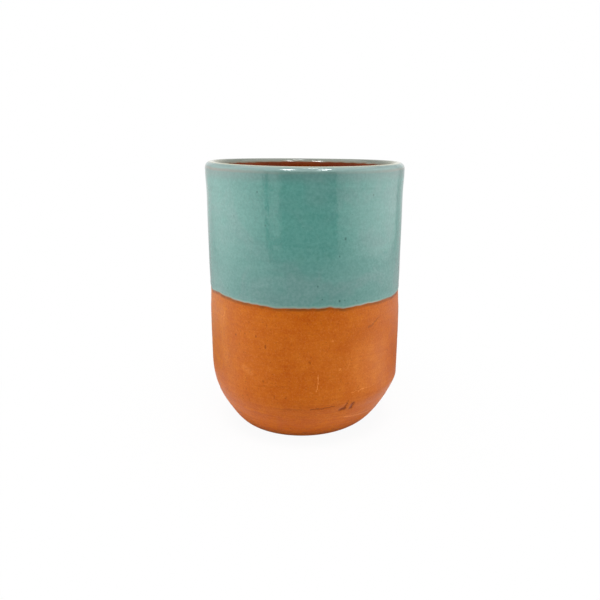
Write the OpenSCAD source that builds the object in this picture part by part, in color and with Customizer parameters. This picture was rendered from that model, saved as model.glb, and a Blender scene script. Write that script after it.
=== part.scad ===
// Hand-thrown terracotta cup without a handle, dipped in coloured glaze and lined with clear glaze.
// Millimetres. The origin is the centre of the foot, on the surface that the cup stands on, with +Z up.

/* [Vessel] */
// Height from the foot to the crest of the glazed lip
cup_h = 114; // [104:0.5:126]
// Outside diameter of the bare clay at the belly, the widest part
belly_d = 84.2; // [76:0.1:96]
// Inset of the clay from the belly at the upper wall, under the coloured glaze
upper_inset = 0.55; // [0:0.05:2]
// Inset of the clay from the belly at the collar, drawn in by a finger under the lip
collar_inset = 0.95; // [0:0.05:2.5]
// Inset of the clay from the belly at the rim
rim_inset = 0.55; // [0:0.05:2]
// Height at which the belly starts to draw in
belly_top_h = 46; // [38:1:52]
// Height at which the wall has drawn in to the upper wall
upper_low_h = 66; // [58:1:74]
// Depth below the crest of the lip at which the upper wall starts to draw in to the collar
upper_top_drop = 26; // [22:1:28]
// Depth below the crest of the lip of the narrowest part of the collar
collar_drop = 15; // [12:0.5:20]
// Depth below the crest of the lip at which the wall has opened out to the rim
rim_drop = 5.5; // [4.5:0.1:8]

/* [Foot] */
// Diameter of the foot
foot_d = 53.2; // [44:0.2:60]
// Rise of the heel at the foot, in degrees from the table
heel_rise = 12; // [4:0.5:26]
// Reach of the heel's curve out from the foot
heel_low_reach = 5.5; // [4:0.1:9]
// Reach of the heel's curve down from the corner
heel_high_reach = 9.4; // [5:0.1:13]
// Lean of the heel just under the corner, in degrees from upright
heel_lean = 22; // [12:1:32]
// Height of the corner between the heel and the belly
heel_corner_h = 21.5; // [17:0.1:27]
// Reach of the rounding along both sides of that corner
heel_corner_round = 3.4; // [1:0.1:6]
// Width of the flat ring that the cup stands on
foot_ring_w = 6; // [4:0.2:10]
// Depth at the middle of the shallow hollow inside that ring
foot_hollow = 0.6; // [0.2:0.1:1.5]

/* [Wall] */
// Thickness of the clay wall at the rim
rim_t = 4.3; // [3.4:0.1:5.5]
// Thickness of the clay wall at the belly
belly_t = 5; // [4:0.1:6.5]
// Thickness of the clay at the middle of the floor
floor_t = 6; // [4:0.1:8]
// Diameter of the nearly flat part of the floor
floor_d = 36; // [28:0.5:44]
// Rise of the floor from its middle to its edge
floor_rise = 0.5; // [0.2:0.1:1]
// Height at which the inside of the heel runs out into the wall
inner_heel_h = 29; // [26:0.5:34]
// Depth of the finger rings on the inside wall
ring_depth = 0.3; // [0.1:0.05:0.6]
// Spacing of the finger rings, one above the other
ring_pitch = 8.5; // [6:0.5:12]

/* [Lip] */
// Distance from the outside of the clay rim in to the crest
crest_in = 2.15; // [1.7:0.05:2.6]
// Height of the rounding outside the crest
lip_out_h = 2.5; // [1.8:0.1:3.6]
// Height of the rounding inside the crest
lip_in_h = 3.8; // [2.6:0.1:5]

/* [Glaze] */
// Height of the dip line, where the coloured glaze ends, at the axis
dip_h = 61.8; // [48:0.2:78]
// Tilt of the dip line, in degrees, lower on the +X side
dip_tilt = 0.95; // [0:0.05:2]
// Thickness of the coloured glaze
coat_t = 0.35; // [0.25:0.05:0.6]
// Height over which the lower edge of the coloured glaze thins out
coat_edge_h = 0.5; // [0.3:0.1:1]
// Depth below the crest at which the coloured glaze ends on the inside of the lip
coat_inside_drop = 1.6; // [1:0.1:2.8]
// Thickness of the clear glaze lining
lining_t = 0.25; // [0.2:0.05:0.45]

/* [Hidden] */
$fn = 144;
// Overrun of a cut past the face that it goes through
overrun = 1;
// Counts of straight steps that stand for each curved stretch of the outline
heel_steps = 16;
blend_steps = 6;
lip_steps = 8;
steps_per_ring = 8;
// Reach of the inner heel curve along the floor and down the wall, as shares of its width and height
inner_low_share = 0.5;
inner_high_share = 0.5;
// Share of the inside wall, at each end, over which the finger rings fade
ring_fade_share = 0.18;

belly_r = belly_d / 2;
foot_r = foot_d / 2;
clay_h = cup_h - coat_t;
rim_r = belly_r - rim_inset;
crest_r = rim_r - crest_in;
belly_low_h = heel_corner_h + heel_corner_round;
lip_out_z = clay_h - lip_out_h;
lip_in_z = clay_h - lip_in_h;

// Height and radius of the outside wall at each place where it runs upright
wall_stations = [
    [belly_low_h, belly_r],
    [belly_top_h, belly_r],
    [upper_low_h, belly_r - upper_inset],
    [cup_h - upper_top_drop, belly_r - upper_inset],
    [cup_h - collar_drop, belly_r - collar_inset],
    [cup_h - rim_drop, rim_r],
    [lip_out_z, rim_r]
];

// Slow start and slow end between 0 and 1
function ease(t) = (1 - cos(180 * t)) / 2;

// Point at t on a curve with two end points and two handles
function curve(a, b, c, d, t) =
    pow(1 - t, 3) * a + 3 * pow(1 - t, 2) * t * b + 3 * (1 - t) * t * t * c + pow(t, 3) * d;

// Point at t on the rounding of corner b, which starts at a and ends at c
function rounding(a, b, c, t) = pow(1 - t, 2) * a + 2 * (1 - t) * t * b + t * t * c;

// Radius of the outside wall at height z, eased from each station to the next
function wall_r(z, i = 0) =
    i >= len(wall_stations) - 2 || z <= wall_stations[i + 1][0]
        ? let(low = wall_stations[i], high = wall_stations[i + 1])
            low[1] + (high[1] - low[1]) * ease((z - low[0]) / (high[0] - low[0]))
        : wall_r(z, i + 1);

// Radius of the inside wall at height z: the outside, less a wall that thins upwards, with finger rings
function inner_r(z) =
    let(
        t = (z - inner_heel_h) / (lip_in_z - inner_heel_h),
        fade = max(0, min(1, t / ring_fade_share, (1 - t) / ring_fade_share)),
        ring = (1 - cos(360 * (z - inner_heel_h) / ring_pitch)) / 2
    )
    wall_r(z) - belly_t + (belly_t - rim_t) * t + ring_depth * ring * fade;

// Lowest height that the dip line reaches, with the whole of its edge
dip_low_h = dip_h - (belly_r + coat_t) * tan(dip_tilt) - coat_edge_h - overrun;

// Points up the outside wall between two heights, with steps only where the radius changes
function wall_points(from_z, to_z) = [
    for (i = [0 : len(wall_stations) - 2])
        let(low = wall_stations[i], high = wall_stations[i + 1], steps = low[1] == high[1] ? 1 : blend_steps)
            for (k = [0 : steps - 1])
                let(z = low[0] + (high[0] - low[0]) * k / steps)
                    if (z > from_z && z < to_z) [wall_r(z), z]
];

// Outline of the underside, from the middle of the hollow to the flat ring
hollow_r = foot_r - foot_ring_w;
foot_path = [
    for (k = [0 : blend_steps])
        let(t = k / blend_steps)
            [hollow_r * t, foot_hollow * ease(1 - t)]
];

// Outline of the heel: a curve up from the edge of the foot, then the rounded corner under the belly
lean = [sin(heel_lean), cos(heel_lean)];
heel_corner = [belly_r, heel_corner_h];
heel_top = heel_corner - heel_corner_round * lean;
heel_path = concat(
    [
        for (k = [0 : heel_steps - 1])
            curve(
                [foot_r, 0],
                [foot_r + heel_low_reach * cos(heel_rise), heel_low_reach * sin(heel_rise)],
                heel_top - heel_high_reach * lean,
                heel_top,
                k / heel_steps
            )
    ],
    [for (k = [0 : blend_steps]) rounding(heel_top, heel_corner, [belly_r, belly_low_h], k / blend_steps)]
);

// Outline of the lip: the outside up to the crest, then down the inside to the end of the coloured
// glaze, and on down to the mouth
function lip_inner_point(a) =
    [crest_r - (rim_t - crest_in) * cos(a), lip_in_z + lip_in_h * sin(a)];
meet_angle = asin((cup_h - coat_inside_drop - lip_in_z) / lip_in_h);
lip_outer_path = [
    for (k = [0 : lip_steps])
        let(a = 90 * k / lip_steps)
            [crest_r + crest_in * cos(a), lip_out_z + lip_out_h * sin(a)]
];
lip_coated_path = [for (k = [1 : lip_steps]) lip_inner_point(90 + (meet_angle - 90) * k / lip_steps)];
lip_lined_path = [for (k = [1 : lip_steps]) lip_inner_point(meet_angle * (1 - k / lip_steps))];

// Outline of the inside, from under the lip to the middle of the floor
ring_steps = round(steps_per_ring * (lip_in_z - inner_heel_h) / ring_pitch);
inner_wall_path = [
    for (k = [1 : ring_steps - 1])
        let(z = lip_in_z + (inner_heel_h - lip_in_z) * k / ring_steps)
            [inner_r(z), z]
];
floor_r = floor_d / 2;
floor_edge_z = floor_t + floor_rise;
inner_heel_r = inner_r(inner_heel_h);
inner_heel_path = [
    for (k = [0 : heel_steps])
        curve(
            [inner_heel_r, inner_heel_h],
            [inner_heel_r, inner_heel_h - inner_high_share * (inner_heel_h - floor_edge_z)],
            [floor_r + inner_low_share * (inner_heel_r - floor_r), floor_edge_z],
            [floor_r, floor_edge_z],
            k / heel_steps
        )
];
floor_path = [
    for (k = [1 : blend_steps])
        let(t = k / blend_steps)
            [floor_r * (1 - t), floor_t + floor_rise * ease(1 - t)]
];

// The clay's glazed outline as one path: up the outside wall, over the lip, down the inside to the floor
coat_path = concat(
    [[wall_r(dip_low_h), dip_low_h]],
    wall_points(dip_low_h, lip_out_z),
    lip_outer_path,
    lip_coated_path
);
skin = concat(coat_path, lip_lined_path, inner_wall_path, inner_heel_path, floor_path);
last = len(skin) - 1;
// Number of the point at which the coloured glaze ends and the lining starts
meet = len(coat_path) - 1;

// Direction square to the path at point i, out of the clay
function outward(i) =
    i == last
        ? [0, 1]
        : let(along = skin[i + 1] - skin[max(0, i - 1)])
            [along[1], -along[0]] / norm(along);

// Glaze surface over the path, the given thickness out from the clay
function glaze_point(i, t) = skin[i] + t * outward(i);

// Thickness of the coloured glaze at point i, which falls to the lining's from the crest to their meeting
function coat_thickness(i) =
    let(fall = max(0, min(1, (i - meet + lip_steps) / lip_steps)))
    coat_t + (lining_t - coat_t) * ease(fall);

module clay_body() {
    color("#BE6B2E")
        rotate_extrude()
            polygon(concat(foot_path, heel_path, wall_points(belly_low_h, dip_low_h), skin));
}

// All that lies below the dip line, with a sloping top that thins the edge of the glaze
module below_dip_line() {
    in_r = belly_r - upper_inset - overrun;
    out_r = belly_r + coat_t + overrun;
    slope = coat_edge_h / coat_t;
    dip_r = wall_r(dip_h);
    translate([0, 0, dip_h])
        rotate([0, dip_tilt, 0])
            rotate_extrude()
                polygon([
                    [in_r, 2 * (dip_low_h - dip_h)],
                    [out_r, 2 * (dip_low_h - dip_h)],
                    [out_r, (out_r - dip_r) * slope],
                    [in_r, (in_r - dip_r) * slope]
                ]);
}

module coloured_glaze() {
    color("#79A79F")
        difference() {
            rotate_extrude()
                polygon(concat(
                    [for (i = [0 : meet]) glaze_point(i, coat_thickness(i))],
                    [for (i = [meet : -1 : 0]) skin[i]]
                ));
            below_dip_line();
        }
}

module lining_glaze() {
    color("#6B2A10")
        rotate_extrude()
            polygon(concat(
                [for (i = [meet : last]) glaze_point(i, lining_t)],
                [for (i = [last : -1 : meet]) skin[i]]
            ));
}

clay_body();
coloured_glaze();
lining_glaze();
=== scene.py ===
"""Looks of a hand-thrown terracotta cup, dipped in blue-green glaze and lined with clear glaze.

Sizes and places are in millimetres and turn into metres where they are handed to Blender. The
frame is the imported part's: the origin is the centre of the foot, +Z is up and the photograph is
taken from -Y. A bearing is the angle round the cup from its front, positive towards +X. It is in
degrees in the named values and in radians in the array BEARING.
"""

import math

import bpy
import numpy as np
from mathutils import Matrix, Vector


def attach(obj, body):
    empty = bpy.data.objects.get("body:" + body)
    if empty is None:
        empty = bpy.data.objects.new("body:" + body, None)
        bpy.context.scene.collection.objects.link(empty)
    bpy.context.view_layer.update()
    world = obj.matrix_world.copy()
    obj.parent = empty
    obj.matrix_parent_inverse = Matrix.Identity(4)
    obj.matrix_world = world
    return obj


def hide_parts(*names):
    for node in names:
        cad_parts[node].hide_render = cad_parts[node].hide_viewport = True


MM = 0.001
TINY = 1e-9

# Outside of the clay: the part's source, with small changes that follow the photograph more closely
CUP_H = 114.0
BELLY_R = 42.0
CORNER_Z = 21.5
# Heights between which the wall changes its radius, and the radius there
WALL = np.array(
    [
        (20.0, 42.0),
        (46.0, 42.0),
        (62.0, 41.42),
        (74.0, 41.24),
        (88.0, 41.24),
        (101.5, 41.16),
        (110.0, 41.46),
        (111.15, 41.46),
    ]
)
# Sideways lean of the body: at the bottom and at the top, and the heights between which it changes
LEAN_LOW, LEAN_HIGH = 0.1, -0.1
LEAN_FROM, LEAN_TO = 40.0, 80.0
# The heel is cut harder on the right than on the left. Its outline leaves the foot at the angle
# rise and comes in under the belly at the angle lean from upright. The reaches are the lengths of
# the curve's handles there, and of the rounding at the corner.
HEEL_RIGHT = dict(foot_r=26.4, rise=21, low_reach=6.2, high_reach=10.0, lean=20.6, round_reach=0.6)
HEEL_LEFT = dict(foot_r=29.1, rise=4.5, low_reach=1.9, high_reach=5.8, lean=20.4, round_reach=7.0)
# The foot is a little wider from side to side than from front to back, over so many rows of the
# heel
FOOT_OVAL = 0.5
OVAL_ROWS = 24
HOLLOW_R = 20.6
HOLLOW_H = 0.6

# Lip and inside
RIM_R = 41.55
RIM_T = 4.3
CREST_IN = 2.15
CREST_R = RIM_R - CREST_IN
LIP_OUT_H = 2.5
LIP_IN_H = 3.8
COAT_T = 0.35
LINING_T = 0.25
CLAY_H = CUP_H - COAT_T
LIP_OUT_Z = CLAY_H - LIP_OUT_H
LIP_IN_Z = CLAY_H - LIP_IN_H
BELLY_T = 5.0
INNER_HEEL_Z = 29.0
FLOOR_R = 18.0
FLOOR_Z = 6.0
FLOOR_RISE = 0.5
RING_DEPTH = 0.3
RING_PITCH = 8.5
RING_FADE_SHARE = 0.18

# The coat is thinner at the dip line, and has its full thickness this far over it
EDGE_COAT_T = 0.10
EDGE_COAT_H = 10.0
# Its edge is rolled over this height, with a bead above: thickness, height over the dip line and
# half height
ROLLED_H = 0.7
BEAD_T, BEAD_Z, BEAD_H = 0.07, 1.1, 0.8
# Band round the outside of the lip where the coat has run thin: thickness lost, place below the
# rim and half height. It ends so many rows before the crest.
BAND_T, BAND_BELOW_RIM, BAND_H = 0.10, 2.4, 0.8
BAND_MARGIN_ROWS = 8
# How far below the rim the coat reaches inside, and how much less at the back
COAT_REACH = 2.2
BACK_REACH_LOSS = 0.65
BACK_WIDTH = 58
REACH_RIPPLE = 0.10

# Dip line of the coloured glaze: its height at the axis, its fall per millimetre towards +X and -Y
DIP_Z = 61.4
DIP_FALL_X = 0.0165
DIP_FALL_Y = -0.004
DIP_RIPPLE = 0.045
# Bulges of that line: bearing, height and half width in degrees
DIP_BULGES = [
    (-71, -0.55, 4.0),
    (-58, 0.45, 4.5),
    (-48, 0.25, 4.5),
    (-15.5, -0.45, 4.8),
    (4, 0.14, 5.0),
    (12.8, 0.48, 3.0),
    (21.5, -0.36, 4.4),
    (36.5, 0.25, 4.0),
    (60, -0.32, 5.0),
    (98, 0.35, 11.0),
    (141, -0.40, 13.0),
    (-168, 0.30, 12.0),
    (-117, -0.30, 10.0),
]

# Rim: higher at the sides than at the front and back, and higher on the left than on the right
SADDLE = 0.20
RIM_TILT = 0.4
RIM_SHIFT_FROM = 84.0

# Marks of the potter's hands: how far the body is out of round, and how deep the throwing lines are
ROUND_ERROR = 0.05
LINE_DEPTH = 0.022
TURNED_DEPTH = 0.03
COARSE_DEPTH = 0.03
# The heel is turned with a tool up to this height. The marks come and go over a few millimetres.
TURNED_TOP = 24
MARK_FADE = 4
# Numbers of fine and coarse lines between two heights, and how far they climb on their way round
LINES_FROM, LINES_TO = -2, 128
FINE_LINES, COARSE_LINES = 260, 44
LINE_CLIMB = 0.5
# Share of the throwing lines that the coloured glaze fills
UNDER_GLAZE = 0.85
# Chips in the bare clay: bearing, height, radius and depth
CHIPS = [
    (23.4, 19.4, 0.9, 0.30),
    (21.2, 17.9, 1.0, 0.25),
    (27.8, 18.2, 0.8, 0.30),
    (-21.9, 45.0, 0.6, 0.15),
    (41.0, 52.2, 1.3, 0.08),
    (118.0, 37.0, 0.9, 0.20),
    (-134.0, 15.0, 1.1, 0.22),
]

# The surface is a grid of points. Its columns stand closer together at the front than at the back.
COLUMNS = 400
FRONT_CROWDING = 0.35
TURN = np.linspace(-math.pi, math.pi, COLUMNS, endpoint=False)
BEARING = TURN - FRONT_CROWDING * np.sin(TURN)
# 1 on the right, 0 on the left
RIGHTNESS = (1 + np.sin(BEARING)) / 2
# Rows of the grid, from the middle of the foot up the outside and down the inside
HOLLOW_ROWS = 11
FOOT_SHARES = (0.3, 0.6, 0.85)
HEEL_ROWS = 34
CORNER_ROWS = 10
BARE_ROWS = 72
# Heights over the dip line of the first glazed rows. The even rows above start at another height.
EDGE_HEIGHTS = np.array([0, 0.05, 0.12, 0.22, 0.34, 0.48, 0.65, 0.85, 1.1, 1.4, 1.8, 2.3])
EVEN_FROM = 3
EVEN_ROWS = 50
LIP_ROWS = 17
REACH_ROWS = 10
MOUTH_ROWS = 10
INSIDE_ROWS = 68
INNER_HEEL_ROWS = 27
FLOOR_ROWS = 12
# So many glazed rows of the outside carry hand marks
MARKED_ROWS = 70
# Every so many rows of the clay are kept where a glaze hides it
HIDDEN_STEP = 4
SHARP_EDGE = 50


def ease(t):
    """Slow start and slow end between 0 and 1."""
    return (1 - np.cos(np.pi * np.clip(t, 0, 1))) / 2


def direction(degrees_from_up):
    """Unit vector in the plane of radius and height."""
    a = math.radians(degrees_from_up)
    return np.array([math.sin(a), math.cos(a)])


def cubic(a, b, c, d, t):
    """Points on a curve with two ends and two handles."""
    t = np.asarray(t)[:, None]
    return (1 - t) ** 3 * a + 3 * (1 - t) ** 2 * t * b + 3 * (1 - t) * t * t * c + t**3 * d


def degrees_from(bearing):
    """Degrees from a bearing to each column."""
    return (np.degrees(BEARING) - bearing + 180) % 360 - 180


def bulge(bearing, width):
    """1 at a bearing, falling to 0 on both sides of it."""
    return np.exp(-((degrees_from(bearing) / width) ** 2))


def ripple(seed, periods, size):
    """Smooth random waviness round the cup, with whole numbers of periods."""
    rng = np.random.default_rng(seed)
    waves = [
        rng.normal() * np.cos(k * BEARING + rng.uniform(0, 2 * np.pi)) for k in periods
    ]
    return size * np.sum(waves, axis=0) / math.sqrt(len(periods))


def wall_radius(z):
    """Radius of the clay's outside wall at height z."""
    heights, radii = WALL.T
    i = np.clip(np.searchsorted(heights, z, side="right") - 1, 0, len(heights) - 2)
    t = (z - heights[i]) / (heights[i + 1] - heights[i])
    return radii[i] + (radii[i + 1] - radii[i]) * ease(t)


def inner_radius(z):
    """Radius of the clay's inside wall at height z, with its finger rings."""
    t = (z - INNER_HEEL_Z) / (LIP_IN_Z - INNER_HEEL_Z)
    fade = np.clip(np.minimum(t, 1 - t) / RING_FADE_SHARE, 0, 1)
    ring = (1 - np.cos(2 * np.pi * (z - INNER_HEEL_Z) / RING_PITCH)) / 2
    return wall_radius(z) - BELLY_T + (BELLY_T - RIM_T) * t + RING_DEPTH * ring * fade


def heel(foot_r, rise, low_reach, high_reach, lean, round_reach):
    """Outline of the heel, from the edge of the foot to the rounded corner under the belly."""
    down = direction(lean)
    corner = np.array([BELLY_R, CORNER_Z])
    top = corner - round_reach * down
    foot = np.array([foot_r, 0])
    low = foot + low_reach * direction(90 - rise)
    slope = cubic(foot, low, top - high_reach * down, top, np.linspace(0, 1, HEEL_ROWS)[:-1])
    t = np.linspace(0, 1, CORNER_ROWS)[:, None]
    end = corner + np.array([0, round_reach])
    bend = (1 - t) ** 2 * top + 2 * (1 - t) * t * corner + t * t * end
    return np.vstack([slope, bend])


def inner_heel():
    """Outline of the rounding between the inside wall and the floor."""
    inner_r, edge_z = inner_radius(INNER_HEEL_Z), FLOOR_Z + FLOOR_RISE
    return cubic(
        np.array([inner_r, INNER_HEEL_Z]),
        np.array([inner_r, (INNER_HEEL_Z + edge_z) / 2]),
        np.array([(FLOOR_R + inner_r) / 2, edge_z]),
        np.array([FLOOR_R, edge_z]),
        np.linspace(0, 1, INNER_HEEL_ROWS),
    )


def dip_line():
    """Height of the lower edge of the coloured glaze, column by column."""
    x, y = BELLY_R * np.sin(BEARING), -BELLY_R * np.cos(BEARING)
    line = DIP_Z - DIP_FALL_X * x - DIP_FALL_Y * y
    for bearing, height, width in DIP_BULGES:
        line = line + height * bulge(bearing, width)
    return line + ripple(seed=3, periods=range(40, 90), size=DIP_RIPPLE)


def lip_inner(angle):
    """Point of the lip's inner rounding, 90 degrees at the crest and 0 at the mouth."""
    a = np.radians(angle)
    return CREST_R - (RIM_T - CREST_IN) * np.cos(a), LIP_IN_Z + LIP_IN_H * np.sin(a)


def coat_end_angle():
    """Where on the lip's inner rounding the coloured glaze ends, column by column."""
    reach = COAT_REACH - BACK_REACH_LOSS * bulge(180, BACK_WIDTH)
    end_z = CUP_H - reach + ripple(seed=5, periods=range(7, 40), size=REACH_RIPPLE)
    return np.degrees(np.arcsin((end_z - LIP_IN_Z) / LIP_IN_H))


def outline():
    """Radius and height of the clay's surface, row by row and column by column, from the middle of
    the foot up the outside, over the lip and down the inside to the middle of the floor. Also the
    rows at which the coloured glaze starts and ends, and the height of the dip line."""
    ones = np.ones(COLUMNS)
    rows = []

    def add(r, z):
        rows.append(np.stack([r * ones, z * ones], axis=-1))

    for t in np.linspace(0, 1, HOLLOW_ROWS):
        add(HOLLOW_R * t, HOLLOW_H * ease(1 - t))
    right, left = heel(**HEEL_RIGHT), heel(**HEEL_LEFT)
    oval = FOOT_OVAL * np.cos(2 * BEARING)
    foot_r = right[0, 0] * RIGHTNESS + left[0, 0] * (1 - RIGHTNESS) - oval
    for t in FOOT_SHARES:
        add(HOLLOW_R + (foot_r - HOLLOW_R) * t, 0)
    for i, (a, b) in enumerate(zip(right, left)):
        add(
            a[0] * RIGHTNESS + b[0] * (1 - RIGHTNESS) - oval * ease(1 - i / OVAL_ROWS),
            a[1] * RIGHTNESS + b[1] * (1 - RIGHTNESS),
        )
    low = rows[-1][:, 1]
    dip = dip_line()
    for t in np.linspace(0, 1, BARE_ROWS)[1:-1]:
        z = low + (dip - low) * t
        add(wall_radius(z), z)
    start = len(rows)
    span = LIP_OUT_Z - DIP_Z
    even = np.linspace(EVEN_FROM / span, 1, EVEN_ROWS)[:-1]
    for t in np.concatenate([EDGE_HEIGHTS / span, even]):
        z = dip + (LIP_OUT_Z - dip) * t
        add(wall_radius(z), z)
    for a in np.radians(np.linspace(0, 90, LIP_ROWS)):
        add(CREST_R + CREST_IN * np.cos(a), LIP_OUT_Z + LIP_OUT_H * np.sin(a))
    end_angle = coat_end_angle()
    for t in np.linspace(0, 1, REACH_ROWS + 1)[1:]:
        add(*lip_inner(90 + (end_angle - 90) * t))
    end = len(rows) - 1
    for t in np.linspace(0, 1, MOUTH_ROWS + 1)[1:]:
        add(*lip_inner(end_angle * (1 - t)))
    for z in np.linspace(LIP_IN_Z, INNER_HEEL_Z, INSIDE_ROWS)[1:-1]:
        add(inner_radius(z), z)
    for r, z in inner_heel():
        add(r, z)
    for t in np.linspace(0, 1, FLOOR_ROWS + 1)[1:]:
        add(FLOOR_R * (1 - t), FLOOR_Z + FLOOR_RISE * ease(1 - t))
    return np.array(rows), start, end, dip


def hand_marks(r, z, start):
    """Radius of the surface with what the potter's hands leave on the outside: a body slightly out
    of round, throwing lines and chips."""
    rng = np.random.default_rng(11)
    round_error = 0.0
    for k in (2, 3, 4, 5):
        phase = rng.uniform(0, 2 * np.pi) + z / rng.uniform(25, 60)
        round_error = round_error + ROUND_ERROR / k * np.cos(k * BEARING + phase)
    lines = rng.normal(size=FINE_LINES)
    lines = np.convolve(lines, [0.25, 0.5, 0.25], mode="same")
    climbing = z + LINE_CLIMB * np.sin(BEARING + 1.0)
    grooves = np.interp(climbing, np.linspace(LINES_FROM, LINES_TO, FINE_LINES), lines)
    coarse_lines = rng.normal(size=COARSE_LINES)
    coarse = np.interp(climbing, np.linspace(LINES_FROM, LINES_TO, COARSE_LINES), coarse_lines)
    turned = ease((TURNED_TOP - z) / MARK_FADE) * ease(z / MARK_FADE)
    bare = 1 - UNDER_GLAZE * ease((z - DIP_Z + MARK_FADE / 2) / MARK_FADE)
    depth = LINE_DEPTH + TURNED_DEPTH * turned
    shift = ease((z - 1.0) / 12) * round_error
    shift = shift + bare * ease(z / 3) * (depth * grooves + COARSE_DEPTH * coarse)
    for bearing, height, radius, drop in CHIPS:
        along = np.radians(degrees_from(bearing)) * BELLY_R
        far = (along**2 + (z - height) ** 2) / radius**2
        shift = shift - drop * np.exp(-far)
    outside = np.arange(len(r))[:, None] < start + MARKED_ROWS
    return r + np.where(outside & (r > HOLLOW_R), shift, 0)


def rim_shift(z):
    """How far the saddle and the tilt of the rim lift the cup at height z."""
    tilt = -math.tan(math.radians(RIM_TILT)) * BELLY_R * np.sin(BEARING)
    share = ease((z - RIM_SHIFT_FROM) / (CUP_H - RIM_SHIFT_FROM))
    return (tilt - SADDLE * np.cos(2 * BEARING)) * share


def skin():
    """Points of the clay's surface, the unit vectors out of it, the heights over the dip line and
    below the rim, and the rows at which the coloured glaze starts and ends."""
    grid, start, end, dip = outline()
    r, z = grid[..., 0], grid[..., 1]
    above_dip = z - dip
    below_rim = CLAY_H - z
    r = hand_marks(r, z, start)
    z = z + rim_shift(z)
    lean = LEAN_LOW + (LEAN_HIGH - LEAN_LOW) * ease((z - LEAN_FROM) / (LEAN_TO - LEAN_FROM))
    points = np.stack([r * np.sin(BEARING) + lean, -r * np.cos(BEARING), z], axis=-1)
    along = np.gradient(points, axis=0)
    around = np.roll(points, -1, axis=1) - np.roll(points, 1, axis=1)
    out = np.cross(around, along)
    size = np.linalg.norm(out, axis=-1, keepdims=True)
    out = np.where(size > TINY, out / np.maximum(size, TINY), (0, 0, 1))
    return points, out, above_dip, below_rim, start, end


def coat_thickness(above_dip, below_rim, start, end):
    """Thickness of the coloured glaze from its first to its last row: thin over the dip line, with
    a rolled edge and a bead, a thinner band round the outside of the lip, and a fall to the
    lining's thickness."""
    d = np.clip(above_dip[start : end + 1], 0, None)
    rolled = np.sqrt(np.clip(1 - (1 - np.minimum(d / ROLLED_H, 1)) ** 2, 0, 1))
    bead = BEAD_T * np.exp(-(((d - BEAD_Z) / BEAD_H) ** 2))
    outside = np.arange(end + 1 - start)[:, None] < end - start - REACH_ROWS - BAND_MARGIN_ROWS
    to_band = (below_rim[start : end + 1] - BAND_BELOW_RIM) / BAND_H
    band = np.where(outside, BAND_T * np.exp(-(to_band**2)), 0)
    rows_left = np.arange(end - start, -1, -1)[:, None]
    fall = ease(1 - rows_left / REACH_ROWS)
    full = EDGE_COAT_T + (COAT_T - EDGE_COAT_T) * ease(d / EDGE_COAT_H)
    return (full + bead - band) * rolled * (1 - fall) + LINING_T * fall


def closed_mesh(name, rings, values, looped):
    """A closed mesh through rings of points. Looped, its last ring joins its first. Else the first
    and the last ring are drawn together into one point each. values are numbers for its points, by
    name."""
    rings = [np.asarray(ring) for ring in rings]
    count = len(rings)
    vertices = np.concatenate(rings) * MM
    ids = np.arange(count * COLUMNS).reshape(count, COLUMNS)
    faces = []
    last = count if looped else count - 2
    first = 0 if looped else 1
    for i in range(first, last):
        a, b = ids[i], ids[(i + 1) % count]
        faces.append(np.stack([a, np.roll(a, -1), np.roll(b, -1), b], axis=-1))
    quads = np.concatenate(faces)
    used = np.unique(quads)
    place = np.full(len(vertices), -1)
    place[used] = np.arange(len(used))
    points = vertices[used].tolist()
    quads = place[quads].tolist()
    numbers = {key: np.concatenate(column)[used] for key, column in values.items()}
    fans = []
    if not looped:
        for ring, inner, flip in ((0, 1, True), (count - 1, count - 2, False)):
            tip = len(points)
            points.append(vertices[ids[ring]].mean(axis=0).tolist())
            for key, column in values.items():
                numbers[key] = np.append(numbers[key], column[ring].mean())
            edge = place[ids[inner]]
            beside = np.roll(edge, -1)
            pairs = (beside, edge) if flip else (edge, beside)
            fans += [(int(a), int(b), tip) for a, b in zip(*pairs)]
    mesh = bpy.data.meshes.new(name)
    mesh.from_pydata(points, [], quads + fans)
    mesh.polygons.foreach_set("use_smooth", [True] * len(mesh.polygons))
    mesh.set_sharp_from_angle(angle=math.radians(SHARP_EDGE))
    for key, column in numbers.items():
        attribute = mesh.attributes.new(key, "FLOAT", "POINT")
        attribute.data.foreach_set("value", column.astype(np.float32))
    mesh.validate()
    piece = bpy.data.objects.new(name, mesh)
    bpy.context.scene.collection.objects.link(piece)
    return piece


# Line round the lip where the glaze has broken brown: its strength all round, and more of it at
# some bearings, with half widths in degrees
LIP_LINE_SHARE = 0.25
LIP_LINE_BULGES = [(0.75, -58, 30), (0.5, 62, 26), (0.5, 180, 60)]


def lip_line():
    """Strength of the brown line round the lip, column by column."""
    line = LIP_LINE_SHARE
    for strength, bearing, width in LIP_LINE_BULGES:
        line = line + strength * bulge(bearing, width)
    return line


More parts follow.
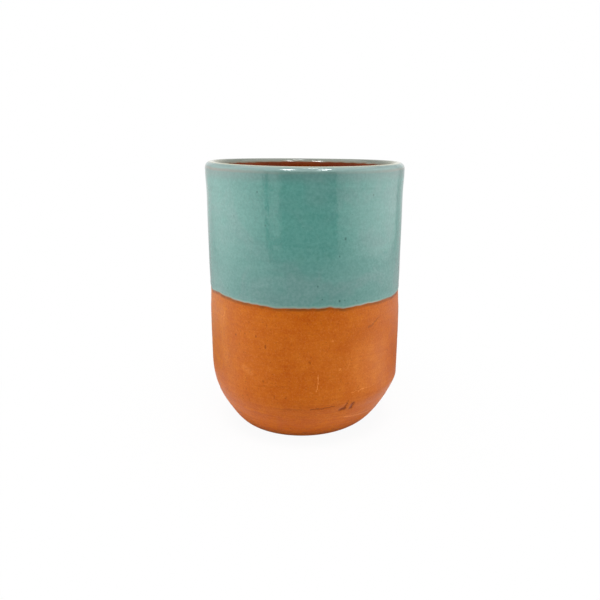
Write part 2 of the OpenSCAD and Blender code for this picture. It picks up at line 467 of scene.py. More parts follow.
def build_cup():
    """The clay and its two glazes as three closed meshes that meet face to face."""
    points, out, above_dip, below_rim, start, end = skin()
    last = len(points) - 1
    rows = np.arange(last + 1)
    thickness = np.zeros(points.shape[:2])
    thickness[start : end + 1] = coat_thickness(above_dip, below_rim, start, end)
    thickness[end:] = LINING_T
    glazed = points + thickness[..., None] * out
    step = np.linalg.norm(np.diff(points, axis=0, prepend=points[:1]), axis=-1)
    travel = np.cumsum(step, axis=0)
    crest = end - REACH_ROWS

    def picked(surface, indices):
        return [surface[i] for i in indices]

    def numbers(indices, **columns):
        return {key: picked(column, indices) for key, column in columns.items()}

    under_coat = list(range(start, end, HIDDEN_STEP)) + [end]
    under_lining = list(range(end, last, HIDDEN_STEP)) + [last]
    clay_rows = list(range(start)) + under_coat + under_lining[1:]
    clay = closed_mesh(
        "clay_body_surface",
        picked(points, clay_rows),
        numbers(clay_rows, above_dip=above_dip),
        looped=False,
    )
    coat_out = list(range(start, end + 1))
    coat_in = under_coat[::-1][:-1]
    coat = closed_mesh(
        "coloured_glaze_coat",
        picked(glazed, coat_out) + picked(points, coat_in),
        numbers(
            coat_out + coat_in,
            above_dip=above_dip,
            below_rim=below_rim,
            inner_edge=np.abs(travel - travel[end]),
            lip_line=(rows <= crest)[:, None] * lip_line(),
            past_crest=travel - travel[crest],
        ),
        looped=True,
    )
    lining_out = list(range(end, last + 1))[::-1]
    lining = closed_mesh(
        "lining_glaze_coat",
        picked(glazed, lining_out) + picked(points, under_lining),
        numbers(lining_out + under_lining, inner_edge=np.abs(travel - travel[end])),
        looped=False,
    )
    return clay, coat, lining


# Nearly all values of a noise lie between these
NOISE_LOW, NOISE_HIGH = 0.3, 0.7


def srgb(red, green, blue):
    """A colour given as it is read off a screen, as the linear colour that Blender takes."""
    def linear(value):
        value = value / 255
        return value / 12.92 if value <= 0.04045 else ((value + 0.055) / 1.055) ** 2.4

    return (linear(red), linear(green), linear(blue), 1.0)


class Nodes:
    """Short names for the shader nodes of one material or world."""

    def __init__(self, owner):
        owner.use_nodes = True
        self.tree = owner.node_tree
        self.tree.nodes.clear()

    def make(self, kind, inputs=(), **settings):
        made = self.tree.nodes.new(kind)
        for key, value in settings.items():
            setattr(made, key, value)
        pairs = inputs.items() if isinstance(inputs, dict) else enumerate(inputs)
        for key, value in pairs:
            if value is None:
                continue
            if isinstance(value, bpy.types.NodeSocket):
                self.tree.links.new(value, made.inputs[key])
            else:
                made.inputs[key].default_value = value
        return made

    def math(self, operation, *values, clamp=False):
        return self.make("ShaderNodeMath", values, operation=operation, use_clamp=clamp).outputs[0]

    def product(self, first, *others):
        for other in others:
            first = self.math("MULTIPLY", first, other)
        return first

    def total(self, first, *others):
        for other in others:
            first = self.math("ADD", first, other)
        return first

    def distance(self, value, middle):
        """How far a value is from another, either way."""
        return self.math("ABSOLUTE", self.math("ADD", value, -middle))

    def vector(self, operation, a, b=None, scale=None):
        inputs = {0: a, 1: b}
        if scale is not None:
            inputs["Scale"] = scale
        made = self.make("ShaderNodeVectorMath", inputs, operation=operation)
        single = operation in ("DOT_PRODUCT", "LENGTH")
        return made.outputs["Value" if single else "Vector"]

    def noise(self, place, scale, detail=2.0, roughness=0.5, distortion=0.0):
        """Noise between 0 and 1, with scale as its number of waves per millimetre."""
        inputs = {
            "Vector": place,
            "Scale": scale,
            "Detail": detail,
            "Roughness": roughness,
            "Distortion": distortion,
        }
        return self.make("ShaderNodeTexNoise", inputs).outputs[0]

    def stretched(self, place, flatness):
        """A place in which a noise makes marks round the cup, longer ones at a lower flatness."""
        return self.vector("MULTIPLY", place, (flatness, flatness, 1.0))

    def ramp(self, value, low, high, from_value=0.0, to_value=1.0, kind="SMOOTHSTEP"):
        """Goes from from_value to to_value while value goes from low to high, and stays level
        outside."""
        inputs = [value, low, high, from_value, to_value]
        return self.make("ShaderNodeMapRange", inputs, interpolation_type=kind).outputs[0]

    def spread(self, noise, from_value, to_value):
        """A noise spread over the values between two."""
        return self.ramp(noise, NOISE_LOW, NOISE_HIGH, from_value, to_value)

    def mix(self, factor, a, b, blend="MIX"):
        inputs = {0: factor, 6: a, 7: b}
        return self.make("ShaderNodeMix", inputs, data_type="RGBA", blend_type=blend).outputs[2]

    def tint(self, colour, factor, towards):
        """A colour mixed towards a named one."""
        return self.mix(factor, colour, srgb(*towards))

    def shaded(self, colour, red, green, blue):
        """A colour with its three parts multiplied."""
        return self.mix(1.0, colour, self.join(red, green, blue), blend="MULTIPLY")

    def attribute(self, name):
        return self.make("ShaderNodeAttribute", attribute_name=name).outputs["Fac"]

    def millimetres(self):
        """Place on the object in millimetres."""
        place = self.make("ShaderNodeTexCoord").outputs["Object"]
        return self.vector("SCALE", place, scale=1 / MM)

    def split(self, vector):
        return self.make("ShaderNodeSeparateXYZ", [vector]).outputs[:3]

    def join(self, x, y, z):
        return self.make("ShaderNodeCombineXYZ", [x, y, z]).outputs[0]

    def bump(self, height, depth):
        """Normal of a surface raised by depth millimetres where height is 1."""
        inputs = {"Strength": 1.0, "Distance": depth * MM, "Height": height}
        return self.make("ShaderNodeBump", inputs).outputs[0]

    def emission(self, strength):
        return self.make("ShaderNodeEmission", {"Strength": strength}).outputs[0]

    def surface(self, inputs):
        """Ends a material with one surface."""
        self.finish(self.make("ShaderNodeBsdfPrincipled", inputs).outputs[0])

    def finish(self, shader, kind="ShaderNodeOutputMaterial"):
        self.make(kind, {"Surface": shader})


def on_wall(bearing, height):
    """A place on the outside wall as a point on the unrolled wall, in millimetres."""
    return (math.radians(bearing) * BELLY_R, height, 0.0)


def unrolled(nodes, place):
    """The outside wall as a plane in millimetres: distance round from the front, and height."""
    x, y, z = nodes.split(place)
    bearing = nodes.math("ARCTAN2", x, nodes.product(y, -1.0))
    return nodes.join(nodes.product(bearing, BELLY_R), z, 0.0)


def roughened(nodes, plane, scale, amount):
    """The unrolled wall pushed about by a fine noise, so that marks on it get ragged edges."""
    noise = nodes.make("ShaderNodeTexNoise", {"Vector": plane, "Scale": scale, "Detail": 2.0})
    push = nodes.vector("SUBTRACT", noise.outputs["Color"], (0.5, 0.5, 0.5))
    return nodes.vector("ADD", plane, nodes.vector("SCALE", push, scale=2 * amount))


# A stroke has its full strength up to one share of its width from its line, and ends at the other
STROKE_FULL_SHARE, STROKE_END_SHARE = 0.15, 0.5


def stroke(nodes, plane, start, end, width, strength):
    """strength along a line on the unrolled wall, falling to 0 at half its width to each side."""
    a, b = Vector(on_wall(*start)), Vector(on_wall(*end))
    run = b - a
    from_a = nodes.vector("SUBTRACT", plane, tuple(a))
    share = nodes.vector("DOT_PRODUCT", from_a, tuple(run / run.length_squared))
    share = nodes.math("ADD", share, 0.0, clamp=True)
    from_a = nodes.vector("SUBTRACT", from_a, nodes.vector("SCALE", tuple(run), scale=share))
    away = nodes.vector("LENGTH", from_a)
    return nodes.ramp(away, width * STROKE_FULL_SHARE, width * STROKE_END_SHARE, strength, 0.0)


def strokes(nodes, plane, marks):
    """All marks in a list of start, end, width and strength as one mask."""
    total = stroke(nodes, plane, *marks[0])
    for mark in marks[1:]:
        total = nodes.math("MAXIMUM", total, stroke(nodes, plane, *mark))
    return total


def pinholes(nodes, place, scale, chosen, reach, strength, channel=0):
    """Round specks in some of the cells of a random pattern. A cell gets its speck while its own
    random number goes through chosen. The speck fades from strength to 0 while the distance from
    its middle goes through reach, a share of the cell's size."""
    cells = nodes.make("ShaderNodeTexVoronoi", {"Vector": place, "Scale": scale})
    lucky = nodes.ramp(nodes.split(cells.outputs["Color"])[channel], *chosen)
    return nodes.product(nodes.ramp(cells.outputs["Distance"], *reach, strength, 0.0), lucky)


# Marks on the bare clay: start and end as bearing and height, width and strength
DARK_MARKS = [
    ((-41.6, 47.3), (-41.5, 47.7), 1.0, 0.8),
    ((-27.6, 48.6), (-27.5, 49.1), 1.0, 0.8),
    ((-22.0, 45.6), (-21.7, 44.4), 1.1, 0.8),
    ((2.6, 39.2), (2.2, 39.9), 1.1, 0.6),
    ((-23.5, 29.8), (-23.3, 30.6), 0.9, 0.5),
    ((-17.2, 23.6), (-17.0, 24.6), 0.9, 0.45),
    ((-10.6, 24.3), (-10.4, 24.7), 1.0, 0.35),
    ((20.3, 17.5), (23.6, 18.0), 2.0, 1.0),
    ((23.0, 18.2), (24.2, 20.4), 1.2, 0.9),
    ((27.2, 17.5), (28.2, 19.8), 2.3, 1.0),
    ((23.9, 20.9), (24.6, 21.6), 0.8, 0.7),
    ((3.2, 19.3), (10.0, 19.4), 0.8, 0.8),
    ((10.0, 19.4), (16.4, 20.1), 0.8, 0.9),
    ((-28.6, 27.6), (-9.3, 29.4), 0.8, 0.18),
    ((-17.0, 18.6), (-2.0, 19.2), 0.7, 0.35),
    ((36.8, 51.4), (40.0, 52.0), 1.4, 0.55),
    ((40.0, 52.0), (45.4, 54.4), 0.9, 0.65),
    ((-36.0, 41.0), (-35.8, 41.3), 0.8, 0.4),
    ((12.5, 45.0), (12.7, 45.2), 0.7, 0.4),
    ((55.0, 38.0), (55.3, 38.4), 0.9, 0.6),
]
PALE_MARKS = [
    ((6.9, 34.2), (7.0, 30.5), 0.65, 0.7),
    ((7.0, 30.5), (5.9, 27.2), 0.55, 0.7),
    ((26.4, 24.9), (30.0, 25.4), 0.6, 0.4),
    ((31.0, 25.0), (34.5, 25.6), 0.9, 0.75),
    ((34.5, 25.6), (38.5, 25.3), 0.6, 0.45),
    ((3.9, 18.6), (8.6, 17.6), 0.5, 0.4),
    ((38.5, 25.3), (47.0, 26.0), 0.5, 0.4),
    ((24.8, 12.8), (31.0, 11.9), 1.1, 0.8),
    ((31.0, 11.9), (40.0, 11.3), 0.9, 0.8),
    ((40.0, 11.3), (48.3, 10.6), 0.8, 0.7),
    ((14.5, 48.0), (15.0, 48.2), 1.0, 0.6),
    ((-52.2, 55.5), (-53.4, 50.0), 1.0, 0.45),
    ((-54.0, 55.0), (-52.0, 36.0), 8.0, 0.14),
    ((23.6, 35.6), (24.6, 38.2), 0.7, 0.25),
    ((18.8, 35.6), (19.4, 36.2), 0.9, 0.4),
    ((-36.0, 34.5), (-31.5, 33.0), 4.0, 0.22),
    ((-33.0, 36.0), (-31.0, 36.3), 0.8, 0.12),
]
# Pinholes and dark specks in the coloured glaze, in the same terms
GLAZE_SPECKS = [
    ((-25.1, 104.8), (-25.1, 104.6), 0.9, 0.8),
    ((37.8, 103.3), (37.8, 103.0), 1.0, 0.7),
    ((-20.9, 92.6), (-20.9, 92.4), 0.9, 0.6),
    ((-40.6, 95.3), (-40.6, 95.1), 0.8, 0.5),
    ((18.3, 63.9), (18.3, 63.6), 1.1, 0.9),
    ((21.2, 64.0), (21.3, 63.9), 0.8, 0.6),
    ((20.9, 87.8), (20.9, 87.5), 1.2, 0.8),
    ((17.8, 81.2), (17.8, 81.0), 0.9, 0.7),
    ((28.5, 63.2), (28.6, 63.0), 0.9, 0.6),
    ((6.4, 70.1), (6.4, 69.9), 0.9, 0.8),
    ((8.8, 64.9), (8.8, 64.8), 0.8, 0.7),
    ((-48.0, 66.0), (-47.8, 65.9), 0.8, 0.6),
]
GLAZE_SPECK_SHARE = 0.75

# Colours as they are read off a screen
CLAY_ORANGE = (180, 83, 6)
CLAY_PINK = (187, 91, 17)
CLAY_NEAR_GLAZE = (177, 80, 0)
# Paler clay on the right is painted side light
CLAY_LEFT = (182, 96, 4)
CLAY_RIGHT_PAINTED_LIGHT = (198, 104, 34)
# Redder, brighter clay at the foot is painted light bounced up from the table
CLAY_FOOT_PAINTED_BOUNCE = (201, 97, 0)
CLAY_DUST = (224, 152, 88)
CLAY_FLECK = (146, 62, 4)
CLAY_PIT = (128, 50, 0)
CLAY_DARK_MARK = (126, 46, 0)
CLAY_PALE_MARK = (222, 138, 66)
# Dark band under the glaze edge is a painted shadow line
CLAY_PAINTED_EDGE_SHADOW = (118, 52, 14)
CLAY_SHINE = (1.0, 0.95, 0.3, 1.0)
CLAY_SHEEN = (1.0, 0.7, 0.25, 1.0)
GLAZE_GREEN = (83, 140, 131)
GLAZE_GREY = (98, 138, 133)
GLAZE_DEEP = (69, 124, 113)
GLAZE_SPECK = (30, 78, 72)
# Paler crest: thin glaze, with a painted bluish reflection of the windows above
GLAZE_CREST_THIN_AND_REFLECTION = (138, 150, 149)
GLAZE_UNDER_LIP = (88, 94, 104)
GLAZE_UNDER_LIP_RED = (156, 116, 104)
GLAZE_LIP_LINE = (140, 112, 98)
# Pale band over the dip edge: thinner glaze with a painted highlight of its rolled edge
GLAZE_NEAR_DIP_HIGHLIGHT = (142, 165, 148)
GLAZE_DIP_EDGE = (152, 122, 100)
# Pale cream past the crest at the front is a painted highlight over thin glaze
GLAZE_THIN_FRONT_HIGHLIGHT = (206, 198, 152)
GLAZE_THIN_BACK = (114, 114, 98)
GLAZE_INNER_EDGE = (124, 106, 78)
LINING_DARK = (110, 40, 0)
LINING_LIGHT = (126, 52, 4)
LINING_PIT = (60, 22, 8)
LINING_EDGE = (104, 74, 44)


def clay_zones_and_painted_light(nodes, colour, x, height):
    """Bare clay in zones: ochre near the glaze, coloured by the fire, and yellower on the left;
    paler on the right as painted side light, and redder and brighter at the foot as painted light
    bounced up from the table."""
    colour = nodes.tint(colour, nodes.ramp(height, 42.0, 60.0, 0.0, 0.75), CLAY_NEAR_GLAZE)
    left = nodes.product(nodes.ramp(x, -40.0, -24.0, 0.75, 0.0), nodes.ramp(height, 22.0, 34.0))
    colour = nodes.tint(colour, left, CLAY_LEFT)
    # Paler on the right: painted light from the side
    right = nodes.product(
        nodes.ramp(x, 12.0, 22.0, 0.0, 0.5),
        nodes.ramp(x, 31.0, 38.0, 1.0, 0.0),
        nodes.ramp(height, 22.0, 30.0),
        nodes.ramp(height, 40.0, 50.0, 1.0, 0.0),
    )
    colour = nodes.tint(colour, right, CLAY_RIGHT_PAINTED_LIGHT)
    # Redder and brighter at the foot: painted light bounced up from the table
    return nodes.tint(colour, nodes.ramp(height, 4.0, 20.0, 0.75, 0.0), CLAY_FOOT_PAINTED_BOUNCE)


def clay_material():
    """Bare terracotta: patches, grain and tool lines, dust, flecks and pits, scratches and dark
    marks, painted side light and bounce light in its zones, and a dark band on the clay where the
    coloured glaze ends, painted as the glaze edge's shadow line."""
    material = bpy.data.materials.new("bare_terracotta")
    nodes = Nodes(material)
    place = nodes.millimetres()
    x, y, height = nodes.split(place)
    clouds = nodes.noise(place, 0.035, detail=3.0)
    patches = nodes.noise(place, 0.22, detail=3.0, roughness=0.6)
    grain = nodes.noise(place, 1.1, detail=3.0, roughness=0.65)
    speckle = nodes.noise(place, 3.2, detail=1.0)
    streaks = nodes.noise(nodes.stretched(place, 0.05), 0.9, detail=3.0, roughness=0.6)

    colour = nodes.mix(nodes.ramp(clouds, 0.40, 0.66), srgb(*CLAY_ORANGE), srgb(*CLAY_PINK))
    colour = clay_zones_and_painted_light(nodes, colour, x, height)
    line_strength = nodes.ramp(height, 18.0, 27.0, 0.36, 0.17)
    shade = nodes.product(
        nodes.spread(patches, 0.955, 1.045),
        nodes.spread(grain, 0.955, 1.045),
        nodes.spread(speckle, 0.965, 1.035),
        nodes.total(nodes.product(nodes.total(streaks, -0.5), line_strength), 1.0),
    )
    colour = nodes.shaded(
        colour, shade, nodes.math("POWER", shade, 2.6), nodes.math("POWER", shade, 5.0)
    )
    dust = nodes.noise(place, 1.7, detail=2.0, roughness=0.7)
    colour = nodes.tint(colour, nodes.ramp(dust, 0.48, 0.68, 0.0, 0.14), CLAY_DUST)
    flecks = nodes.noise(nodes.vector("ADD", place, (31.0, 7.0, 5.0)), 1.15, detail=1.0)
    colour = nodes.tint(colour, nodes.ramp(flecks, 0.64, 0.76, 0.0, 0.5), CLAY_FLECK)
    pits = pinholes(nodes, place, 0.55, chosen=(0.45, 0.9), reach=(0.08, 0.26), strength=0.55)
    fewer_on_right = nodes.ramp(x, -24.0, 2.0, 1.0, 0.3)
    colour = nodes.tint(colour, nodes.product(pits, fewer_on_right), CLAY_PIT)

    plane = roughened(nodes, unrolled(nodes, place), scale=0.9, amount=0.5)
    broken = nodes.ramp(grain, 0.32, 0.52, 0.35, 1.0)
    dark = nodes.product(strokes(nodes, plane, DARK_MARKS), broken)
    pale = nodes.product(strokes(nodes, plane, PALE_MARKS), broken)
    colour = nodes.tint(colour, dark, CLAY_DARK_MARK)
    colour = nodes.tint(colour, pale, CLAY_PALE_MARK)
    # Dark band on the clay just under the glaze edge: painted shadow line
    to_edge = nodes.distance(nodes.attribute("above_dip"), -0.25)
    painted_edge_shadow = nodes.ramp(to_edge, 0.15, 1.3, 0.88, 0.0)
    painted_edge_shadow = nodes.product(painted_edge_shadow, nodes.ramp(patches, 0.35, 0.6, 0.5, 1.0))
    colour = nodes.tint(colour, painted_edge_shadow, CLAY_PAINTED_EDGE_SHADOW)

    relief = nodes.total(
        nodes.product(grain, 0.6),
        nodes.product(speckle, 0.4),
        nodes.product(streaks, 0.35),
        nodes.product(dark, -0.5),
    )
    nodes.surface(
        {
            "Base Color": colour,
            "Roughness": nodes.spread(patches, 0.34, 0.44),
            "Specular IOR Level": 0.3,
            "Specular Tint": CLAY_SHINE,
            "Sheen Weight": 0.025,
            "Sheen Roughness": 0.3,
            "Sheen Tint": CLAY_SHEEN,
            "Normal": nodes.bump(relief, 0.09),
        }
    )
    return material


def lip_colours(nodes, colour, clouds, crest, y):
    """The coloured glaze round the lip: paler on the crest, where it runs thin, and bluish there as
    a painted reflection of the windows above; greyer and redder just under it, broken brown along a
    line, and thin where it ends inside, with a pale cream front there that is a painted highlight."""
    below_rim, line = nodes.attribute("below_rim"), nodes.attribute("lip_line")
    past_crest, inner_edge = nodes.attribute("past_crest"), nodes.attribute("inner_edge")
    # Paler and bluish on the crest: thin glaze with a painted reflection of the windows above
    colour = nodes.tint(colour, crest, GLAZE_CREST_THIN_AND_REFLECTION)
    under_lip = nodes.ramp(below_rim, 2.8, 6.5, 1.0, 0.0)
    under_lip = nodes.product(nodes.ramp(below_rim, 1.0, 2.4), under_lip)
    colour = nodes.tint(colour, nodes.product(under_lip, 0.22), GLAZE_UNDER_LIP)
    colour = nodes.tint(colour, nodes.product(under_lip, 0.12, line), GLAZE_UNDER_LIP_RED)
    wander = nodes.product(nodes.total(clouds, -0.5), 1.2)
    to_line = nodes.distance(nodes.total(below_rim, wander), 1.8)
    broken = nodes.product(nodes.ramp(to_line, 0.1, 0.8, 0.45, 0.0), line)
    colour = nodes.tint(colour, broken, GLAZE_LIP_LINE)
    # Past the crest: thin glaze, darker at the back, pale cream at the front as a painted highlight
    thin = nodes.mix(nodes.ramp(y, -20.0, 20.0), srgb(*GLAZE_THIN_FRONT_HIGHLIGHT), srgb(*GLAZE_THIN_BACK))
    colour = nodes.mix(nodes.ramp(past_crest, -1.3, -0.1, 0.0, 0.75), colour, thin)
    return nodes.tint(colour, nodes.ramp(inner_edge, 0.0, 0.9, 0.85, 0.0), GLAZE_INNER_EDGE)


def coloured_glaze_material():
    """Blue-green glaze: mottled, greyer low down, with pinholes and specks, thin and pale over its
    dip edge and round its lip, with a painted highlight along the dip edge and a painted reflection
    and highlight round the lip."""
    material = bpy.data.materials.new("coloured_glaze_surface")
    nodes = Nodes(material)
    place = nodes.millimetres()
    x, y, height = nodes.split(place)
    clouds = nodes.noise(place, 0.06, detail=3.0, roughness=0.55, distortion=0.6)
    blotches = nodes.noise(place, 0.28, detail=3.0, roughness=0.6)
    mottle = nodes.noise(place, 1.0, detail=2.0, roughness=0.6)
    runs = nodes.noise(nodes.stretched(place, 0.12), 0.5, detail=2.0)

    low = nodes.ramp(height, 62.0, 92.0, 0.55, 0.0)
    greyness = nodes.math("ADD", nodes.ramp(clouds, 0.44, 0.68, 0.0, 0.6), low, clamp=True)
    colour = nodes.mix(greyness, srgb(*GLAZE_GREEN), srgb(*GLAZE_GREY))
    colour = nodes.tint(colour, nodes.ramp(blotches, 0.52, 0.75, 0.0, 0.35), GLAZE_DEEP)
    shade = nodes.product(
        nodes.spread(mottle, 0.93, 1.07),
        nodes.spread(runs, 0.97, 1.03),
        nodes.spread(blotches, 0.975, 1.025),
    )
    colour = nodes.shaded(colour, nodes.math("POWER", shade, 1.7), shade, shade)

    holes = pinholes(nodes, place, 0.22, chosen=(0.55, 0.75), reach=(0.02, 0.075), strength=0.5)
    specks = nodes.product(strokes(nodes, unrolled(nodes, place), GLAZE_SPECKS), GLAZE_SPECK_SHARE)
    specks = nodes.math("MAXIMUM", holes, specks)
    colour = nodes.tint(colour, specks, GLAZE_SPECK)

    above_dip = nodes.attribute("above_dip")
    crest = nodes.ramp(nodes.attribute("below_rim"), 0.5, 2.4, 0.6, 0.0)
    colour = lip_colours(nodes, colour, clouds, crest, y)
    # Paler just over the dip edge: thinner glaze, with a painted highlight of the rolled edge and
    # bead
    colour = nodes.tint(colour, nodes.ramp(above_dip, 0.4, 1.3, 0.6, 0.0), GLAZE_NEAR_DIP_HIGHLIGHT)
    colour = nodes.tint(colour, nodes.ramp(above_dip, 0.1, 0.62, 0.9, 0.0), GLAZE_DIP_EDGE)

    waves = nodes.noise(nodes.stretched(place, 0.35), 0.38, detail=1.0)
    relief = nodes.total(
        nodes.product(nodes.noise(place, 0.12, detail=1.0), 3.0),
        nodes.product(blotches, 5.0),
        nodes.product(mottle, 0.7),
        nodes.product(waves, 9.0, crest),
        nodes.product(specks, -1.5),
    )
    nodes.surface(
        {
            "Base Color": colour,
            "Roughness": nodes.spread(mottle, 0.05, 0.09),
            "Specular IOR Level": 0.46,
            "Normal": nodes.bump(relief, 0.02),
        }
    )
    return material


def lining_material():
    """Clear glaze over clay: a mottled reddish brown with pinholes, paler where the coloured glaze
    ends."""
    material = bpy.data.materials.new("clear_glaze_over_clay")
    nodes = Nodes(material)
    place = nodes.millimetres()
    clouds = nodes.noise(place, 0.05, detail=3.0)
    mottle = nodes.noise(place, 0.9, detail=3.0, roughness=0.6)
    colour = nodes.mix(nodes.ramp(clouds, 0.35, 0.7), srgb(*LINING_DARK), srgb(*LINING_LIGHT))
    shade = nodes.spread(mottle, 0.88, 1.12)
    colour = nodes.shaded(colour, shade, shade, shade)
    holes = pinholes(
        nodes, place, 0.35, chosen=(0.6, 0.8), reach=(0.03, 0.1), strength=0.6, channel=1
    )
    colour = nodes.tint(colour, holes, LINING_PIT)
    inner_edge = nodes.attribute("inner_edge")
    colour = nodes.tint(colour, nodes.ramp(inner_edge, 0.0, 0.5, 0.7, 0.0), LINING_EDGE)
    relief = nodes.total(nodes.product(mottle, 0.6), nodes.product(clouds, 2.0))
    nodes.surface(
        {
            "Base Color": colour,
            "Roughness": nodes.spread(mottle, 0.24, 0.36),
            "Specular IOR Level": 0.07,
            "Normal": nodes.bump(relief, 0.04),
        }
    )
    return material


def dress(piece, node, material):
    """Gives a piece its material, hangs it under the root body and hides the CAD part that it
    stands for.
    """
    piece.data.materials.append(material)
    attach(piece, "root")
    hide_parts(node)


# Studio: a white table between reflecting cards that only mirrored light sees, open towards the
# camera. A glow of 1 is plain white.
FAR = 6000.0
TABLE_FRONT = -428.0
# Side cards: x, front end and back end. The left card has a dim strip before its front end.
CARD_TOP = 420.0
RIGHT_CARD = (405, -575, 311)
LEFT_CARD = (-390, -428, 458)
STRIP_FRONT = -478
STRIP_GLOW = 0.25
# Dark room behind the camera, with a pale curtain in its left part
ROOM_Y = -620
ROOM_LEFT, ROOM_RIGHT = -600, 455
ROOM_LOW, ROOM_HIGH = -500, 420
ROOM_GLOW = 0.12
CURTAIN_GLOW = 1.3
CURTAIN_END, CURTAIN_SOFT = -313.0, 60
CURTAIN_LOW, CURTAIN_LOW_SOFT = -36.0, 12
# The table's rounded front edge, beyond which mirrored light sees the dark room: its radius about
# a point near the cup, and from which to which direction it goes
EDGE_R = 392.0
EDGE_MIDDLE_Y = -40
EDGE_FROM, EDGE_TO = -42.3, 36.0
EDGE_POINTS = 25
EDGE_LEFT, EDGE_RIGHT = -380, 330
EDGE_Z = 0.5
EDGE_GLOW = 0.15
# Ceiling, and the windows in it: name, middle, half sizes and glow
CEILING_Z = 660.0
CEILING_GLOW = 2.5
CEILING_HALF_WIDTH = 600
CEILING_FRONT, CEILING_BACK = -800, 300
WINDOW_Z = 640
WINDOWS = [
    ("window_left", (-145, -332), (57, 50), 32.0),
    ("window_middle", (55, -40), (40, 30), 30.0),
    ("window_right", (170, -260), (34, 50), 28.0),
]
# Soft lamps: name, place, size and power
AIM = (0, 0, 60)
LAMPS = [
    ("overhead", (10, -220, 640), (380, 200), 1.4),
    ("fill_left", (-380, -40, 130), (400, 240), 0.55),
    ("fill_right", (380, -40, 130), (400, 240), 0.4),
]
AMBIENT = 0.74


def card(name, points, shader_of):
    """A flat piece of the studio, given by its corners in millimetres. It isn't part of the cup."""
    mesh = bpy.data.meshes.new(name)
    places = [tuple(v * MM for v in point) for point in points]
    mesh.from_pydata(places, [], [tuple(range(len(places)))])
    made = bpy.data.objects.new(name, mesh)
    bpy.context.scene.collection.objects.link(made)
    material = bpy.data.materials.new(name)
    nodes = Nodes(material)
    nodes.finish(shader_of(nodes))
    mesh.materials.append(material)
    return made


def mirrored_card(name, points, shader_of):
    """A card that only mirrored light sees."""
    made = card(name, points, shader_of)
    made.visible_camera = False
    made.visible_diffuse = False
    made.visible_shadow = False


def upright(name, start, end, low, high, shader_of):
    """A mirrored card that stands between two points of the floor, from one height to another."""
    mirrored_card(name, [(*start, low), (*end, low), (*end, high), (*start, high)], shader_of)


def glowing(strength):
    """Shader of a panel that glows evenly."""
    return lambda nodes: nodes.emission(strength)


def mirrored_floor(nodes, x, y, away):
    """How bright the table is where it is mirrored in the cup: brighter towards the side cards and
    beside the cup, dimmer behind it, near its foot on the right and at the table's ends."""
    aside = nodes.math("ABSOLUTE", x)
    glow = nodes.product(
        nodes.ramp(aside, 50, 360, 0.0, 1.3),
        nodes.ramp(x, -300, 300, 1.15, 0.85),
        nodes.ramp(y, -10, 300, 1.0, 0.25),
        nodes.ramp(y, -400, -230, 0.55, 1.0),
    )
    beside = nodes.product(
        nodes.ramp(aside, 50, 100),
        nodes.ramp(x, -50, 50, 1.2, 1.8),
        nodes.ramp(aside, 140, 200, 1.0, 0.0),
        nodes.ramp(nodes.distance(y, -50), 30, 65, 1.0, 0.0),
    )
    behind = nodes.product(nodes.ramp(y, 0, 40, 0.0, 0.28), nodes.ramp(away, 120, 220, 1.0, 0.0))
    glow = nodes.total(glow, nodes.ramp(y, 300, 900, 0.0, 0.1), beside)
    glow = nodes.total(nodes.math("SUBTRACT", glow, behind), 0.4)
    near_right = nodes.ramp(x, -10, 40, 0.1, 1.0)
    near_right = nodes.product(near_right, nodes.ramp(away, 50, 140, 0.4, 0.0))
    return nodes.product(glow, nodes.math("SUBTRACT", 1.0, near_right))


def floor_shader(nodes):
    """White table. The camera sees it white, with a part of its real shading near the cup only;
    near the foot it is painted darker as shade, which also dims the light it bounces onto the cup.
    Mirrored in the cup it is as bright as mirrored_floor says, but for its real shading at the
    foot."""
    place = nodes.millimetres()
    x, y, z = nodes.split(place)
    away = nodes.vector("LENGTH", place)
    rays = nodes.make("ShaderNodeLightPath").outputs
    white = nodes.product(rays["Is Camera Ray"], nodes.ramp(away, 30, 160, 0.94, 1.0))
    # Darker near the foot: painted shade under the cup, dimming the light the table bounces onto
    # the heel
    grey = nodes.ramp(away, 30, 42, 0.42, 0.88)
    real = nodes.make("ShaderNodeBsdfDiffuse", {"Color": nodes.join(grey, grey, grey)}).outputs[0]
    shown = nodes.make("ShaderNodeMixShader", [white, real, nodes.emission(1.0)]).outputs[0]
    mirrored = nodes.product(rays["Is Glossy Ray"], nodes.ramp(away, 40, 100))
    bright = nodes.emission(mirrored_floor(nodes, x, y, away))
    return nodes.make("ShaderNodeMixShader", [mirrored, shown, bright]).outputs[0]


def side_glow(nodes):
    """Shader of a side card: brightest beside the cup, dimmer towards its ends and at its foot."""
    x, y, z = nodes.split(nodes.millimetres())
    front = nodes.ramp(y, -620.0, -60.0, 1.4, 3.15)
    back = nodes.ramp(y, -20.0, 330.0, 1.0, 0.36, kind="LINEAR")
    foot = nodes.ramp(z, 0.0, 60.0, 0.82, 1.0)
    side = nodes.ramp(x, -1.0, 1.0, 0.95, 1.0)
    return nodes.emission(nodes.product(front, back, foot, side))


def room_glow(nodes):
    """Shader of the dark room with its curtain."""
    x, y, z = nodes.split(nodes.millimetres())
    curtain = nodes.product(
        nodes.ramp(x, CURTAIN_END - CURTAIN_SOFT, CURTAIN_END + CURTAIN_SOFT, CURTAIN_GLOW, 0.0),
        nodes.ramp(z, CURTAIN_LOW - CURTAIN_LOW_SOFT, CURTAIN_LOW + CURTAIN_LOW_SOFT),
    )
    return nodes.emission(nodes.total(curtain, ROOM_GLOW))


def table_edge():
    """Outline of the dim strip along the table's rounded front edge."""
    curve = [
        (EDGE_R * math.sin(a), EDGE_MIDDLE_Y - EDGE_R * math.cos(a), EDGE_Z)
        for a in np.radians(np.linspace(EDGE_FROM, EDGE_TO, EDGE_POINTS)).tolist()
    ]
    front = TABLE_FRONT - 10
    return curve + [(EDGE_RIGHT, front, EDGE_Z), (EDGE_LEFT, front, EDGE_Z)]


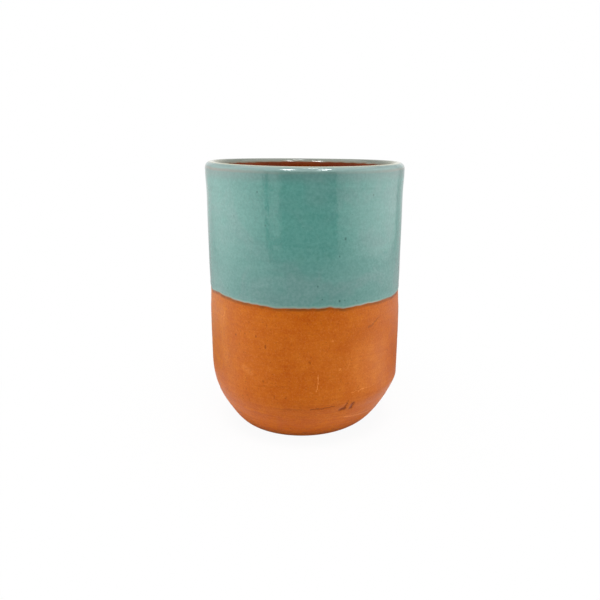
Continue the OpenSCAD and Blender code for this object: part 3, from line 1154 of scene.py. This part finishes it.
def level(x_low, x_high, y_low, y_high, z):
    """Corners of a level rectangle."""
    return [(x_low, y_low, z), (x_high, y_low, z), (x_high, y_high, z), (x_low, y_high, z)]


def lamp(name, place, size, energy):
    """A rectangular soft lamp at a place in millimetres, aimed at the cup. Mirrored light doesn't
    see it."""
    data = bpy.data.lights.new(name, "AREA")
    data.shape = "RECTANGLE"
    data.size, data.size_y = size[0] * MM, size[1] * MM
    data.energy = energy
    made = bpy.data.objects.new(name, data)
    made.location = [v * MM for v in place]
    made.rotation_euler = (Vector(AIM) - Vector(place)).to_track_quat("-Z", "Y").to_euler()
    made.visible_glossy = False
    bpy.context.scene.collection.objects.link(made)


def build_world():
    """Plain soft light from all round, seen as white."""
    world = bpy.data.worlds.new("white_surroundings")
    nodes = Nodes(world)
    rays = nodes.make("ShaderNodeLightPath").outputs
    shown = nodes.math("ADD", rays["Is Camera Ray"], rays["Is Glossy Ray"])
    shown = nodes.math("ADD", shown, rays["Is Transmission Ray"], clamp=True)
    strength = nodes.ramp(shown, 0.0, 1.0, AMBIENT, 1.0)
    white = (1, 1, 1, 1)
    sky = nodes.make("ShaderNodeBackground", {"Color": white, "Strength": strength}).outputs[0]
    nodes.finish(sky, "ShaderNodeOutputWorld")
    bpy.context.scene.world = world


def build_studio():
    card("table", level(-FAR, FAR, TABLE_FRONT, FAR, 0), floor_shader)
    for name, (x, front, back) in (("card_right", RIGHT_CARD), ("card_left", LEFT_CARD)):
        upright(name, (x, front), (x, back), 0, CARD_TOP, side_glow)
    x, front, back = LEFT_CARD
    upright("card_edge", (x, STRIP_FRONT), (x, front), 0, CARD_TOP, glowing(STRIP_GLOW))
    upright("dark_room", (ROOM_LEFT, ROOM_Y), (ROOM_RIGHT, ROOM_Y), ROOM_LOW, ROOM_HIGH, room_glow)
    mirrored_card("table_edge", table_edge(), glowing(EDGE_GLOW))
    ceiling = level(-CEILING_HALF_WIDTH, CEILING_HALF_WIDTH, CEILING_FRONT, CEILING_BACK, CEILING_Z)
    mirrored_card("ceiling", ceiling, glowing(CEILING_GLOW))
    for name, (x, y), (half_x, half_y), glow in WINDOWS:
        panel = level(x - half_x, x + half_x, y - half_y, y + half_y, WINDOW_Z)
        mirrored_card(name, panel, glowing(glow))
    for name, place, size, energy in LAMPS:
        lamp(name, place, size, energy)
    build_world()


# Camera of the photograph. The focal length is given as a share of the image's width.
SENSOR = 36.0
FOCAL_SHARE = 575.1 / 600
CAMERA_PLACE = (-2.05, -250.0, 124.2)
CAMERA_PITCH = 15.89
CLIP_START = 10


def build_camera():
    data = bpy.data.cameras.new("camera")
    data.sensor_width = SENSOR
    data.lens = SENSOR * FOCAL_SHARE
    data.clip_start = CLIP_START * MM
    camera = bpy.data.objects.new("camera", data)
    camera.location = [v * MM for v in CAMERA_PLACE]
    camera.rotation_euler = (math.radians(90 - CAMERA_PITCH), 0, 0)
    bpy.context.scene.collection.objects.link(camera)
    bpy.context.scene.camera = camera


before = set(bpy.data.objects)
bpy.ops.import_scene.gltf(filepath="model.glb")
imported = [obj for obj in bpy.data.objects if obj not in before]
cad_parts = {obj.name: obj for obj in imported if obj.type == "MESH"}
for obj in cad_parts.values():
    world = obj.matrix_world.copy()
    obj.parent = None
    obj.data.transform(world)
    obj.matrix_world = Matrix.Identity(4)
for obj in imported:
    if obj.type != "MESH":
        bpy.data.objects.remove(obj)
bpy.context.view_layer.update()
clay, coat, lining = build_cup()
dress(clay, "clay_body", clay_material())
dress(coat, "coloured_glaze", coloured_glaze_material())
dress(lining, "lining_glaze", lining_material())
build_studio()
build_camera()
bpy.context.scene.view_settings.view_transform = "Standard"
